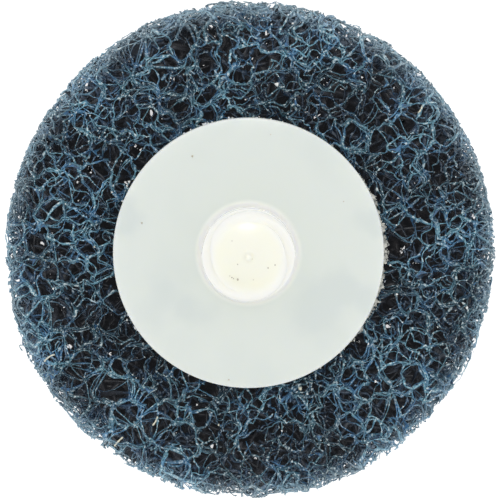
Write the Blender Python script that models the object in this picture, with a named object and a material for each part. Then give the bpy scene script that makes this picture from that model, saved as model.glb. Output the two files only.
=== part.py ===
"""Surface conditioning disc, 50 mm quick-change type, modelled at its real size.

The disc lies on its working face, as it would on a bench, with the stud up.
Lengths are in metres and +Z is up. The origin is on the disc's axis, in the
plane of the working face.

Three pieces make it: an open non-woven web, the glue on its back, and a
one-piece moulded button with a flat flange and a two-start threaded stud.
"""

import math

import bmesh
import bpy
from mathutils import Vector, noise

MM = 0.001
FULL_TURN = 2.0 * math.pi

# Web
WEB_DIAMETER = 50.0 * MM
WEB_THICKNESS = 13.0 * MM
WEB_SHOULDER = 2.2 * MM  # radius where the faces roll over into the rim
WEB_SEAT_TUCK = 0.3 * MM  # how far the open net starts inside the flange's edge

# Net of strands on the web: rings of cells, each sunk between its strands
NET_HUB_CELLS = 9  # cells round the middle of the working face
NET_FACE_CELLS = 4 * NET_HUB_CELLS  # cells in each ring on the faces
NET_RIM_CELLS = 48  # cells in each ring round the rim
NET_FACE_ROWS = 4  # rings of cells on each flat face outside the seat
NET_WALL_ROWS = 5  # rings of cells round the rim, between the shoulders
NET_HUB_SHARES = (0.76, 0.54, 0.34, 0.16)  # circles inside the seat's radius, below
NET_WANDER = 0.22  # how far a crossing strays, as a share of its cell
NET_ZIGZAG = 0.15  # how far crossings lean towards the cell wall that they carry
STRAND_SAG = 0.35 * MM  # how far some crossings lie below the surface
PIT_SHALLOW = 1.4 * MM
PIT_DEEP = 4.2 * MM
SHOULDER_PIT_SHARE = 0.75  # deepest pit on and beside a shoulder, against its radius
RIM_PIT_DEEP = 2.6 * MM
PIT_FLOOR_SHARE = 0.62  # width of a pit's floor against its mouth
GAP_FLOOR_SHARE = 0.42  # the same where a pit runs right through
GAP_SHARE = 0.36  # share of the face's pits that run right through

# Tags: each circle and row of cells strays in its own way, by its tag
RIM_TAG = 20
HUB_TAG = 40
PIT_TAG = 100
STRAY_PLACE = Vector((0.5, 0.5, 11.5))  # where in Blender's cell noise the tags start
STRAY_STRIDE = Vector((7.0, 3.0, 0.0))  # from tag to tag, and from step to step

# Glue between web and button
SEAT_GAP = 0.3 * MM  # between each piece and the one that it sits on
BOND_THICKNESS = 0.45 * MM
BOND_SETBACK = 0.5 * MM  # how far the glue stays inside the flange's edge
BOND_SQUEEZE = 1.4 * MM  # how far the bead on the right runs out from there
BOND_BEAD_FROM = math.radians(-52.0)
BOND_BEAD_TO = math.radians(38.0)
BOND_EDGE = 0.12 * MM
BOND_POINTS = 96

# Button: flange
FLANGE_DIAMETER = 27.4 * MM
FLANGE_THICKNESS = 1.25 * MM
FLANGE_EDGE = 0.15 * MM  # broken edge, top and bottom

# Button: stud
STUD_HEIGHT = 5.8 * MM  # above the flange
STUD_FILLET = 0.55 * MM
STUD_COLLAR = 0.35 * MM  # plain height between the fillet and the thread
THREAD_CREST_DIAMETER = 9.35 * MM
THREAD_DEPTH = 1.0 * MM
THREAD_LEAD = 5.0 * MM
THREAD_STARTS = 2
THREAD_FLANK = 0.8  # steepness of the flanks: 0.5 is a wave, 1 nearly square
THREAD_MEETS_END_AT = math.radians(90.0)  # where a start leaves the rounded end
THREAD_MEETS_END_BELOW = 0.3 * MM
END_EDGE = 0.55 * MM  # the end's flat is this much smaller than the root
END_ROUNDING = 1.6 * MM  # height of the rounded lead-in
GATE_DIAMETER = 0.77 * MM
GATE_HEIGHT = 0.12 * MM

BUTTON_COLUMNS = 52
FILLET_ROWS = 3
THREAD_ROWS = 16
ROUNDING_ROWS = 7

# Sizes that follow from the ones above
NET_STEPS = 2 * math.lcm(NET_FACE_CELLS, NET_RIM_CELLS)  # steps that strands are set out by
FACE_STEPS = NET_STEPS // NET_FACE_CELLS  # from strand to strand on the faces
RIM_STEPS = NET_STEPS // NET_RIM_CELLS
WEB_RADIUS = WEB_DIAMETER / 2
FACE_RADIUS = WEB_RADIUS - WEB_SHOULDER
FLANGE_RADIUS = FLANGE_DIAMETER / 2
SEAT_RADIUS = FLANGE_RADIUS - WEB_SEAT_TUCK
CREST_RADIUS = THREAD_CREST_DIAMETER / 2
ROOT_RADIUS = CREST_RADIUS - THREAD_DEPTH
END_RADIUS = ROOT_RADIUS - END_EDGE
BOND_BOTTOM = WEB_THICKNESS + SEAT_GAP
BUTTON_BOTTOM = BOND_BOTTOM + BOND_THICKNESS + SEAT_GAP


def clear_scene():
    for obj in list(bpy.data.objects):
        bpy.data.objects.remove(obj, do_unlink=True)


def make_material(name, colour, roughness):
    material = bpy.data.materials.new(name)
    material.use_nodes = True
    shader = material.node_tree.nodes["Principled BSDF"]
    shader.inputs["Base Color"].default_value = (*colour, 1.0)
    shader.inputs["Roughness"].default_value = roughness
    shader.inputs["Metallic"].default_value = 0.0
    return material


def make_object(name, bm, material, smooth_below=None):
    """Turn a closed bmesh into an object with its faces pointing out."""
    bmesh.ops.recalc_face_normals(bm, faces=bm.faces)
    mesh = bpy.data.meshes.new(name)
    bm.to_mesh(mesh)
    bm.free()
    mesh.materials.append(material)
    if smooth_below is not None:
        mesh.shade_smooth()
        mesh.set_sharp_from_angle(angle=smooth_below)
    obj = bpy.data.objects.new(name, mesh)
    bpy.context.collection.objects.link(obj)
    return obj


def skin_between(bm, lower, upper):
    """Join two loops of as many points with a band of four-sided faces."""
    count = len(lower)
    for index in range(count):
        after = (index + 1) % count
        bm.faces.new((lower[index], lower[after], upper[after], upper[index]))


def skin_stack(bm, loops):
    """Close a stack of loops into a body: a band between each two, and flat ends."""
    for lower, upper in zip(loops, loops[1:]):
        skin_between(bm, lower, upper)
    bm.faces.new(loops[0])
    bm.faces.new(loops[-1])


def stray(ring, column):
    """A fixed irregular offset for one crossing: three values from -1 to 1."""
    place = STRAY_PLACE + Vector((ring * STRAY_STRIDE.x, column * STRAY_STRIDE.y, 0.0))
    return 2.0 * noise.cell_vector(place) - Vector((1.0, 1.0, 1.0))


def outline_at(path):
    """Radius, height and lean of the web's outline, at a distance along it.

    The outline starts at the seat's edge on the upper face, rolls over the rim
    and ends in the middle of the working face. Lean is the angle of the
    surface's normal from straight up.
    """
    flat = FACE_RADIUS - SEAT_RADIUS
    arc = WEB_SHOULDER * math.pi / 2
    wall = WEB_THICKNESS - 2 * WEB_SHOULDER
    if path < flat:
        return SEAT_RADIUS + path, WEB_THICKNESS, 0.0
    path -= flat
    if path < arc:
        lean = path / WEB_SHOULDER
        height = WEB_THICKNESS - WEB_SHOULDER * (1 - math.cos(lean))
        return FACE_RADIUS + WEB_SHOULDER * math.sin(lean), height, lean
    path -= arc
    if path < wall:
        return WEB_RADIUS, WEB_THICKNESS - WEB_SHOULDER - path, math.pi / 2
    path -= wall
    if path < arc:
        lean = math.pi / 2 + path / WEB_SHOULDER
        height = WEB_SHOULDER * (1 + math.cos(lean))
        return FACE_RADIUS + WEB_SHOULDER * math.sin(lean), height, lean
    return FACE_RADIUS - (path - arc), 0.0, math.pi


def point_below(path, angle, depth):
    """A point that lies `depth` under the web's outline, square to it."""
    radius, height, lean = outline_at(path)
    around = Vector((math.cos(angle), math.sin(angle), 0.0))
    upright = Vector((0.0, 0.0, 1.0))
    normal = around * math.sin(lean) + upright * math.cos(lean)
    return around * radius + upright * height - normal * depth


def net_circles():
    """Circles between the rows of cells: distance along the outline, and a tag.

    The tag names a circle's irregularity. The two faces share their tags, so
    they share one plan, and a pit can run through to its twin below.
    """
    flat = FACE_RADIUS - SEAT_RADIUS
    arc = WEB_SHOULDER * math.pi / 2
    wall = WEB_THICKNESS - 2 * WEB_SHOULDER
    whole = 2 * flat + 2 * arc + wall
    upper = [(flat * index / NET_FACE_ROWS, index) for index in range(NET_FACE_ROWS + 1)]
    rim = [
        (flat + arc / 2 + (arc + wall) * index / NET_WALL_ROWS, RIM_TAG + index)
        for index in range(NET_WALL_ROWS + 1)
    ]
    lower = [(whole - path, tag) for path, tag in reversed(upper)]
    hub = [
        (whole + SEAT_RADIUS * (1 - share), HUB_TAG + index)
        for index, share in enumerate(NET_HUB_SHARES)
    ]
    return upper + rim + lower + hub


def net_rows():
    """First strand and spacing of strands in each row of cells, in net steps.

    Rows next to each other start at different steps, so most strands meet in
    threes and a cell has about six sides. The rows near the middle of the
    working face have a half and a quarter as many cells as those outside.
    """
    face = [(FACE_STEPS // 2 * (index % 2), FACE_STEPS) for index in range(NET_FACE_ROWS)]
    rim = [(RIM_STEPS // 2 * (index % 2), RIM_STEPS) for index in range(NET_WALL_ROWS + 2)]
    hub = [
        (FACE_STEPS // 2, 2 * FACE_STEPS),
        (3 * FACE_STEPS // 2, 2 * FACE_STEPS),
        (FACE_STEPS // 2, 4 * FACE_STEPS),
        (5 * FACE_STEPS // 2, 4 * FACE_STEPS),
    ]
    return face + rim + face[::-1] + hub


def place_crossings(bm, circles, rows):
    """Make the crossings of strands on each circle.

    Returns a dictionary of step to point for each circle, and each point's
    distance along the outline and angle round the disc.
    """
    crossings = []
    places = {}
    for index, (path, tag) in enumerate(circles):
        before = strands_of(rows, index - 1)
        after = strands_of(rows, index)
        beside = [near for near in (index - 1, index + 1) if 0 <= near < len(circles)]
        row = min(abs(circles[near][0] - path) for near in beside) if index else 0.0
        side = 1 if path < circles[-1][0] / 2 else -1
        steps = sorted(before | after)
        circle = {}
        for order, step in enumerate(steps):
            wander = stray(tag, step)
            room = min(
                (step - steps[order - 1]) % NET_STEPS,
                (steps[(order + 1) % len(steps)] - step) % NET_STEPS,
            )
            angle = FULL_TURN * (step + wander.x * NET_WANDER * room) / NET_STEPS
            zigzag = (step in after) - (step in before)
            along = row * (side * wander.y * NET_WANDER + zigzag * NET_ZIGZAG)
            sag = STRAND_SAG * max(0.0, wander.z) if index else 0.0
            vert = bm.verts.new(point_below(path + along, angle, sag))
            circle[step] = vert
            places[vert] = (path + along, angle)
        crossings.append(circle)
    return crossings, places


def strands_of(rows, index):
    """Steps at which the strands of one row of cells stand."""
    if not 0 <= index < len(rows):
        return set()
    first, spacing = rows[index]
    return set(range(first, NET_STEPS, spacing))


def cell_outline(near, far, start, spacing):
    """Crossings round the cell between two circles whose first strand is at `start`."""
    span = [(start + step) % NET_STEPS for step in range(spacing + 1)]
    return [near[step] for step in span if step in near] + [
        far[step] for step in reversed(span) if step in far
    ]


def deepest_pit(index):
    """Depth of the deepest pits in a row of cells.

    On and beside the shoulders it stays under the shoulder's radius, so that
    pits sunk from the face and from the rim don't meet.
    """
    rim_start = NET_FACE_ROWS
    rim_end = NET_FACE_ROWS + NET_WALL_ROWS + 2
    if rim_start + 2 <= index < rim_end - 2:
        return RIM_PIT_DEEP
    if rim_start - 1 <= index <= rim_end:
        return WEB_SHOULDER * SHOULDER_PIT_SHARE
    return PIT_DEEP


def sink_cell(bm, outline, places, share, depth):
    """Build sloping sides down from a cell's strands. Returns the floor's loop.

    The floor is narrower than the mouth along the web's outline, so it follows
    the shoulders round.
    """
    count = len(outline)
    first_angle = places[outline[0]][1]
    turns = [math.remainder(places[vert][1] - first_angle, FULL_TURN) for vert in outline]
    middle_path = sum(places[vert][0] for vert in outline) / count
    middle_turn = sum(turns) / count
    floor = []
    for vert, turn in zip(outline, turns):
        path = middle_path + (places[vert][0] - middle_path) * share
        angle = first_angle + middle_turn + (turn - middle_turn) * share
        floor.append(bm.verts.new(point_below(path, angle, depth)))
    skin_between(bm, outline, floor)
    return floor


def sink_middle(bm, outline, share, depth):
    """The same for the round cell in the middle of the working face."""
    floor = [bm.verts.new((vert.co.x * share, vert.co.y * share, depth)) for vert in outline]
    skin_between(bm, outline, floor)
    return floor


def join_through(bm, upper, lower):
    """Join the floors of two twin pits by a passage through the web."""
    count = len(upper)
    lower = lower[::-1]
    nearest = min(
        range(count),
        key=lambda shift: sum(
            (upper[i].co.xy - lower[(i + shift) % count].co.xy).length for i in range(count)
        ),
    )
    skin_between(bm, upper, lower[nearest:] + lower[:nearest])


def build_web():
    """Non-woven web: a thick round pad whose whole skin is an open net of strands."""
    bm = bmesh.new()
    circles = net_circles()
    rows = net_rows()
    crossings, places = place_crossings(bm, circles, rows)
    bm.faces.new(list(crossings[0].values()))  # plain seat under the flange
    middle = list(crossings[-1].values())
    bm.faces.new(sink_middle(bm, middle, PIT_FLOOR_SHARE, PIT_SHALLOW))

    upper_mouths = {}
    for index, (first, spacing) in enumerate(rows):
        tag = min(circles[index][1], circles[index + 1][1])
        on_face = tag < NET_FACE_ROWS
        for start in range(first, NET_STEPS, spacing):
            outline = cell_outline(crossings[index], crossings[index + 1], start, spacing)
            chance = stray(PIT_TAG + tag, start)
            depth = PIT_SHALLOW + (deepest_pit(index) - PIT_SHALLOW) * abs(chance.y)
            runs_through = on_face and tag > 0 and abs(chance.x) < GAP_SHARE
            share = GAP_FLOOR_SHARE if runs_through else PIT_FLOOR_SHARE
            floor = sink_cell(bm, outline, places, share, depth)
            if not runs_through:
                bm.faces.new(floor)
            elif (tag, start) in upper_mouths:
                join_through(bm, upper_mouths[(tag, start)], floor)
            else:
                upper_mouths[(tag, start)] = floor
    fibre = make_material("resin_coated_fibre", (0.030, 0.075, 0.105), 0.55)
    return make_object("abrasive_web", bm, fibre)


def bond_radius(angle):
    """Edge of the glue: hidden under the flange but for an uneven bead on the right."""
    middle = (BOND_BEAD_FROM + BOND_BEAD_TO) / 2
    half = (BOND_BEAD_TO - BOND_BEAD_FROM) / 2
    turned = math.remainder(angle - middle, FULL_TURN)
    swell = max(0.0, math.cos(turned / half * math.pi / 2)) if abs(turned) < half else 0.0
    lumps = 0.72 + 0.18 * math.sin(17 * angle) + 0.10 * math.sin(31 * angle + 1.0)
    return FLANGE_RADIUS - BOND_SETBACK + BOND_SQUEEZE * math.sqrt(swell) * lumps


def build_bond():
    """Glue layer: a thin disc with a rolled edge."""
    bm = bmesh.new()
    loops = []
    for inset, height in (
        (BOND_EDGE, 0.0),
        (0.0, BOND_EDGE),
        (0.0, BOND_THICKNESS - BOND_EDGE),
        (BOND_EDGE, BOND_THICKNESS),
    ):
        loop = []
        for index in range(BOND_POINTS):
            angle = FULL_TURN * index / BOND_POINTS
            radius = bond_radius(angle) - inset
            loop.append(bm.verts.new((radius * math.cos(angle), radius * math.sin(angle), height)))
        loops.append(loop)
    skin_stack(bm, loops)
    glue = make_material("hardened_glue", (0.72, 0.74, 0.66), 0.4)
    return make_object("adhesive_bond", bm, glue)


def thread_radius(angle, below_end):
    """Radius of the threaded surface, before the end's rounding limits it."""
    pitch = THREAD_LEAD / THREAD_STARTS
    climb = (THREAD_MEETS_END_BELOW - below_end) / pitch
    turn = THREAD_STARTS * (angle - THREAD_MEETS_END_AT) / FULL_TURN
    wave = 0.5 - THREAD_FLANK * math.sin(FULL_TURN * (climb - turn))
    return ROOT_RADIUS + THREAD_DEPTH * min(1.0, max(0.0, wave))


def stud_levels():
    """Heights up the stud above its fillet, each with the largest radius there."""
    foot = FLANGE_THICKNESS + STUD_FILLET
    shoulder = FLANGE_THICKNESS + STUD_HEIGHT - END_ROUNDING
    levels = []
    for index in range(THREAD_ROWS):
        levels.append((foot + (shoulder - foot) * index / THREAD_ROWS, CREST_RADIUS))
    for index in range(ROUNDING_ROWS + 1):
        lean = math.pi / 2 * index / ROUNDING_ROWS
        radius = END_RADIUS + (CREST_RADIUS - END_RADIUS) * math.cos(lean)
        levels.append((shoulder + END_ROUNDING * math.sin(lean), radius))
    return levels


def stud_radius(angle, height, limit):
    """Radius of the stud: plain collar, then thread, inside the rounded end."""
    above_collar = height - FLANGE_THICKNESS - STUD_FILLET - STUD_COLLAR
    share = min(1.0, max(0.0, above_collar / STUD_COLLAR))
    thread = thread_radius(angle, FLANGE_THICKNESS + STUD_HEIGHT - height)
    return min(limit, CREST_RADIUS + (thread - CREST_RADIUS) * share)


def turned_loop(bm, radius_at, height):
    loop = []
    for index in range(BUTTON_COLUMNS):
        angle = FULL_TURN * index / BUTTON_COLUMNS
        radius = radius_at(angle)
        loop.append(bm.verts.new((radius * math.cos(angle), radius * math.sin(angle), height)))
    return loop


def build_button():
    """Moulded button: flange, fillet, two-start thread, rounded end and gate mark."""
    bm = bmesh.new()
    plain = [
        (FLANGE_RADIUS - FLANGE_EDGE, 0.0),
        (FLANGE_RADIUS, FLANGE_EDGE),
        (FLANGE_RADIUS, FLANGE_THICKNESS - FLANGE_EDGE),
        (FLANGE_RADIUS - FLANGE_EDGE, FLANGE_THICKNESS),
    ]
    for index in range(FILLET_ROWS):
        lean = math.pi / 2 * index / FILLET_ROWS
        radius = CREST_RADIUS + STUD_FILLET * (1 - math.sin(lean))
        plain.append((radius, FLANGE_THICKNESS + STUD_FILLET * (1 - math.cos(lean))))
    loops = [turned_loop(bm, lambda angle, r=radius: r, height) for radius, height in plain]
    for height, limit in stud_levels():
        loops.append(turned_loop(bm, lambda angle, z=height, r=limit: stud_radius(angle, z, r), height))
    end = FLANGE_THICKNESS + STUD_HEIGHT
    gate_radius = GATE_DIAMETER / 2
    for radius, height in ((gate_radius, end), (gate_radius * 0.7, end + GATE_HEIGHT)):
        loops.append(turned_loop(bm, lambda angle, r=radius: r, height))
    skin_stack(bm, loops)
    natural = make_material("natural_plastic", (0.74, 0.79, 0.75), 0.35)
    return make_object("attachment_button", bm, natural, smooth_below=math.radians(40.0))


def main():
    clear_scene()
    disc = bpy.data.objects.new("surface_conditioning_disc", None)
    bpy.context.collection.objects.link(disc)
    web = build_web()
    bond = build_bond()
    button = build_button()
    bond.location.z = BOND_BOTTOM
    button.location.z = BUTTON_BOTTOM
    for piece in (web, bond, button):
        piece.parent = disc
    bpy.context.view_layer.update()


main()
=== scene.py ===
"""Surface conditioning disc: its finished look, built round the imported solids.

The web is laid as real strands: crimped fibres are walked out over a sheet
wider than the disc, drawn together where they pass each other, cut to the
disc's outline and turned into tubes. Resin films and abrasive grains follow
the same lines. The button is turned as a smooth mesh on the solids' sizes.
Lengths are in metres, in the frame of the solids.
"""

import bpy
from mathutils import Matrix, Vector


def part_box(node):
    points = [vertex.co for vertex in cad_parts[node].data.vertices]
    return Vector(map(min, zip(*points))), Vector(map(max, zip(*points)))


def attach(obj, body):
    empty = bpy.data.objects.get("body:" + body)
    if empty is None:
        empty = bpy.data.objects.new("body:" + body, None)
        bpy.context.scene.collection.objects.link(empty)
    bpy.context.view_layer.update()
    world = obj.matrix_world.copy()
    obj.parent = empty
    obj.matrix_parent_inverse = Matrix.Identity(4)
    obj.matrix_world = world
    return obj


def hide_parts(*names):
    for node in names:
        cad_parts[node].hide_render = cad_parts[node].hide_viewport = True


bl_info = {
    "name": "Surface conditioning disc",
    "version": (1, 0, 0),
    "blender": (4, 5, 0),
    "location": "3D View > Sidebar > Disc",
    "description": "Builds an open abrasive web disc with its glued threaded button",
    "category": "Object",
}

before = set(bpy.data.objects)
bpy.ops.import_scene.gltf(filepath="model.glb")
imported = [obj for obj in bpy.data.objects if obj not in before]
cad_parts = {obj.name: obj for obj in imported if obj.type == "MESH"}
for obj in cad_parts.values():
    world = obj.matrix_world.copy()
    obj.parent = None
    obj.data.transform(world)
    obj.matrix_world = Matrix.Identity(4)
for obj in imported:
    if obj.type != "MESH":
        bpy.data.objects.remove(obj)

import math

import bmesh
import bpy
import numpy as np
from bpy.props import (
    FloatProperty,
    FloatVectorProperty,
    IntProperty,
    PointerProperty,
)
from mathutils import Vector, kdtree

MM = 0.001
FULL_TURN = 2.0 * math.pi
WHITE = (1.0, 1.0, 1.0, 1.0)
WHITE_DOT = (0.93, 0.94, 0.92)
WARM_PLASTIC = (0.99, 0.94, 0.77)
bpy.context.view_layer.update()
WEB_LOW, WEB_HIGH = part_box("abrasive_web")
BUTTON_LOW, BUTTON_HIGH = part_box("attachment_button")
WEB_RADIUS = (WEB_HIGH.x - WEB_LOW.x) / 2
WEB_TOP = WEB_HIGH.z
FLANGE_RADIUS = (BUTTON_HIGH.x - BUTTON_LOW.x) / 2
FLANGE_BOTTOM = BUTTON_LOW.z
STUD_TOP = BUTTON_HIGH.z

# Stray pale fibres on the back of the web and one hooked fibre at its rim. Each is
# a bowed line by its two ends and the point that it bows towards, across and up in mm.
PALE_FIBRES = (
    ((-9.72, -17.72), (-9.30, -17.20), (-9.25, -16.85)),
    ((-13.60, -19.82), (-13.20, -19.25), (-12.76, -18.93)),
    ((-20.70, -11.20), (-20.30, -10.60), (-19.65, -10.50)),
    ((17.2, 14.1), (17.5, 14.3), (17.6, 14.8)),
)
HOOKED_FIBRE = ((-22.20, -9.75), (-23.80, -9.15), (-22.95, -10.10))

# White dots on the back of the web, made as small white lumps: across and up in mm, and radius in mm.
WHITE_DOTS = (
    (2.83, 16.96, 0.20), (22.37, -5.66, 0.15), (11.96, -9.50, 0.13), (13.07, -13.10, 0.13),
    (14.36, -1.46, 0.10), (9.34, -10.61, 0.10), (4.57, 23.10, 0.11), (-19.85, -3.81, 0.11),
    (-12.19, -7.07, 0.11), (10.28, 20.34, 0.11), (15.36, -4.62, 0.11), (5.97, -14.46, 0.09),
    (11.01, 8.92, 0.09), (3.35, -18.40, 0.09), (16.55, -7.51, 0.09), (2.19, 23.08, 0.09),
    (18.72, -12.55, 0.07), (14.84, 2.97, 0.07), (21.64, -10.33, 0.07), (-12.35, 7.21, 0.14),
    (-12.39, 6.67, 0.13), (-13.72, 6.77, 0.12), (-13.83, 5.82, 0.10),
)

# Yellowish grains on the back of the web, in the same terms.
YELLOW_GRAINS = ((5.20, -13.90, 0.21), (-3.20, -18.00, 0.11), (-15.50, 0.46, 0.17))

# Dark specks moulded into the button: across and up in mm, and radius in mm.
END_SPECKS = (
    (-1.65, 1.64, 0.05), (-1.09, -0.71, 0.07), (-1.07, -2.24, 0.12), (-1.50, -2.17, 0.07),
    (-1.66, -2.05, 0.06), (-1.87, -1.89, 0.04), (0.48, -2.27, 0.05), (1.97, -1.07, 0.07),
    (2.67, -0.79, 0.07), (0.37, -0.18, 0.04),
)
FLANGE_SPECKS = (
    (-5.67, 9.82, 0.10), (-10.78, 3.05, 0.09), (2.25, 12.01, 0.06), (9.61, 5.23, 0.06),
    (-1.99, -12.86, 0.08),
)

# Darker clouds in the flange, where the web shows through: across, up and radius in mm.
CLOUDS = (
    (-8.4, -3.9, 4.6), (7.0, -5.8, 5.0), (-13.4, 4.2, 3.0), (13.0, 3.4, 2.8), (12.4, -5.2, 3.0),
    (9.0, -4.0, 3.4), (-6.6, -5.4, 3.4),
)

# Nubs of glue at the flange's edge away from the bead: degrees from +X and radius in mm.
GLUE_NUBS = ((52.0, 0.12), (-58.0, 0.13))

# Flash on the flange's edge: degrees from +X and radius in mm.
FLASH = (
    (108.7, 0.19), (107.4, 0.11), (105.6, 0.09), (98.2, 0.14), (96.8, 0.10), (86.5, 0.09),
    (83.5, 0.06), (80.5, 0.10), (75.4, 0.07), (115.1, 0.10), (118.2, 0.10), (157.5, 0.11),
    (207.3, 0.09), (213.5, 0.15), (214.6, 0.09),
)

# Seeds of the random draws.
STRAND_SEED, VOID_SEED, GRAIN_SEED = 50, 23, 7
FILM_SEED, FIBRE_SEED, GLUE_SEED = 11, 31, 19

# How fine the turned meshes are: points round the glue and round the button.
GLUE_COLUMNS, BUTTON_COLUMNS = 900, 144

# Where the bead of glue shows, by the angle of its middle and half its spread, and the
# half spread of its crumbs.
BEAD_MIDDLE, BEAD_HALF, CRUMB_HALF = (math.radians(angle) for angle in (-7.0, 47.0, 46.0))

# Films that close gaps at the rim lie this near to it, this deep at least, between these distances from the
# working face and the back, and take the dark colour of at least this depth, as painted shade.
RIM_FILM_REACH, RIM_FILM_DEPTH, RIM_FILM_PAINTED_SHADE = 2.6 * MM, 0.4 * MM, 2.5 * MM
RIM_FILM_LOW, RIM_FILM_HIGH = 1.5 * MM, 3.5 * MM

# The lamps: place in metres, and width and height.
KEY_PLACE, KEY_SIZE = (-0.005, 0.153, 0.64), (0.095, 0.062)
SKY_PLACE, SKY_SIZE = (0.0, 0.05, 1.0), (0.6, 0.6)
FLOOR_HALF, FLOOR_GLOW = 1.5, 0.7
SENSOR_WIDTH, FAR_CLIP = 36.0, 100.0

LINES = {}  # the web's strands, kept by the operator that lays them for those that follow


def length_property(name, description, default, **limits):
    """A size in metres."""
    return FloatProperty(
        name=name, description=description, default=default, unit="LENGTH", precision=5, **limits
    )


def number_property(name, description, default, **limits):
    """A plain number."""
    return FloatProperty(name=name, description=description, default=default, **limits)


def count_property(name, description, default, **limits):
    """A whole number."""
    return IntProperty(name=name, description=description, default=default, **limits)


def colour_property(name, description, default):
    """A colour, as the shaders read it."""
    return FloatVectorProperty(
        name=name, description=description, default=default, subtype="COLOR", size=3, min=0.0, max=1.0
    )


class WebSettings(bpy.types.PropertyGroup):
    """Sizes and colours of the open web."""

    strand_width: length_property("Strand width", "Width of a resin-coated strand", 0.140 * MM, min=1e-5)
    step: length_property("Step", "Length between two rings of a strand", 0.25 * MM, min=1e-5)
    steps: count_property("Steps", "Steps in a strand before it is cut", 52, min=4)
    packing: number_property("Packing", "Millimetres of strand in a cubic millimetre", 2.47, min=0.1)
    crimp: number_property("Crimp", "How hard the strands curl, per millimetre", 0.62)
    climb: number_property("Climb", "How steeply strands leave their layer", 0.45)
    wobble: length_property("Wobble", "How far a strand's points are thrown off its line", 0.068 * MM)
    knob: number_property("Knob", "How much thicker a strand is at its resin knobs", 1.8)
    void: length_property("Void", "Mean spacing of the voids between strands", 2.0 * MM, min=1e-4)
    warp: length_property("Warp", "How far the voids are bent out of shape", 0.18 * MM)
    skin: length_property("Skin", "Voids nearer to a face than this open out to it", 1.3 * MM)
    stubborn: number_property("Stubborn", "Share of strands that cross voids", 0.22)
    shoulder: length_property("Shoulder", "Radius where the faces roll into the rim", 1.5 * MM)
    oval: length_property("Oval", "How far the web bulges up and down and not across", 0.155 * MM)
    rim_fray: length_property("Rim fray", "How unevenly the rim is cut", 0.17 * MM)
    face_sag: length_property("Face sag", "How far the faces dip between high spots", 0.6 * MM)
    off_centre: FloatVectorProperty(
        name="Off centre",
        description="How far the web is cut off the button's centre, across and up",
        default=(0.15 * MM, -0.15 * MM),
        size=2,
        unit="LENGTH",
        precision=5,
    )
    draw_reach: length_property("Draw reach", "Strands closer than this are drawn together", 0.40 * MM)
    core_depth: length_property("Core depth", "Strands deeper than this are coarser", 2.1 * MM)
    core_skip: count_property("Core skip", "Steps taken at once in the core", 5, min=1)
    core_share: number_property("Core share", "Share of strands that run on into the core", 0.6)
    core_width: number_property("Core width", "Widening of strands in the core", 4.0)
    rim_ragged: length_property("Rim ragged", "How far some strands are cut short of the rim", 0.22 * MM)
    rim_press: length_property("Rim press", "Strands cut this far out are pressed back in", 0.22 * MM)
    layers: count_property("Layers", "Pieces that the web is laid in", 5, min=1)
    grains: count_property("Grains", "Abrasive grains that show on the strands", 22000)
    fibres: count_property("Fibres", "Fine loose fibres that stand off the rim and faces", 420)
    fibre_width: length_property("Fibre width", "Width of a loose fibre", 0.045 * MM)
    grain_size: length_property("Grain size", "Mean radius of a grain", 0.085 * MM)
    grain_depth: length_property("Grain depth", "Grains are shown down to this depth", 1.8 * MM)
    films: count_property("Films", "Resin films in the corners of crossings", 2300)
    # Painted shade: deep films and rim films are partly real resin films, partly dark sheets that fill the
    # gaps in the web's depths.
    deep_films: count_property("Deep films", "Large films in the core", 500)
    rim_films: count_property("Rim films", "Films that close gaps near the rim", 2100)
    patches: count_property("Patches", "Patches where resin films gather", 120, min=1)
    film_depth: length_property("Film depth", "Large films begin at this depth", 2.4 * MM)
    # Colours by depth: light at the surface, middle and dark below it, core deepest. Their darkening with
    # depth is painted shade of the web's depths.
    dark: colour_property("Dark resin", "Colour of strands below the open net", (0.042, 0.046, 0.055))
    core: colour_property("Core", "Colour of the strands deepest in the web", (0.030, 0.027, 0.028))
    # Painted glow: light that the deepest strands and films emit, though no lamp is there.
    painted_glow: colour_property("Haze", "Light that the deepest strands pass on", (0.0068, 0.0072, 0.0082))
    middle: colour_property("Middle resin", "Colour of strands below the surface", (0.040, 0.085, 0.150))
    light: colour_property("Light resin", "Colour of strands at the surface", (0.110, 0.255, 0.330))
    # Dust and painted glints: the light specks on strands and films are partly dust, partly painted
    # highlights.
    dust_and_glint: colour_property("Dust", "Colour of dust and ground resin on the strands", (0.72, 0.80, 0.80))
    fibre: colour_property("Fibre", "Colour of bare fibre", (0.36, 0.44, 0.47))
    # Painted light: the strands along the cut rim are given this lighter colour, as if lit from the sides.
    edge: colour_property("Edge", "Colour of the strands along the cut rim", (0.35, 0.45, 0.52))
    pale: colour_property("Pale fibre", "Colour of stray fibres that took no dye", (0.74, 0.72, 0.58))
    film: colour_property("Film", "Colour of thin resin films", (0.045, 0.160, 0.330))


class GlueSettings(bpy.types.PropertyGroup):
    """Sizes and colours of the glue between web and button."""

    setback: length_property("Setback", "How far the glue stays inside the flange's edge", 0.35 * MM)
    bead: length_property("Bead", "How far the bead on the right runs out at most", 0.52 * MM)
    rough: length_property("Rough", "How rough the bead's surface is", 0.035 * MM)
    crumbs: count_property("Crumbs", "Crumbs of glue along the bead", 120)
    colour: colour_property("Glue", "Colour of the hardened glue", (0.68, 0.68, 0.62))
    shade: colour_property("Glue shade", "Colour of the glue where it is thin or dirty", (0.20, 0.21, 0.20))


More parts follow.
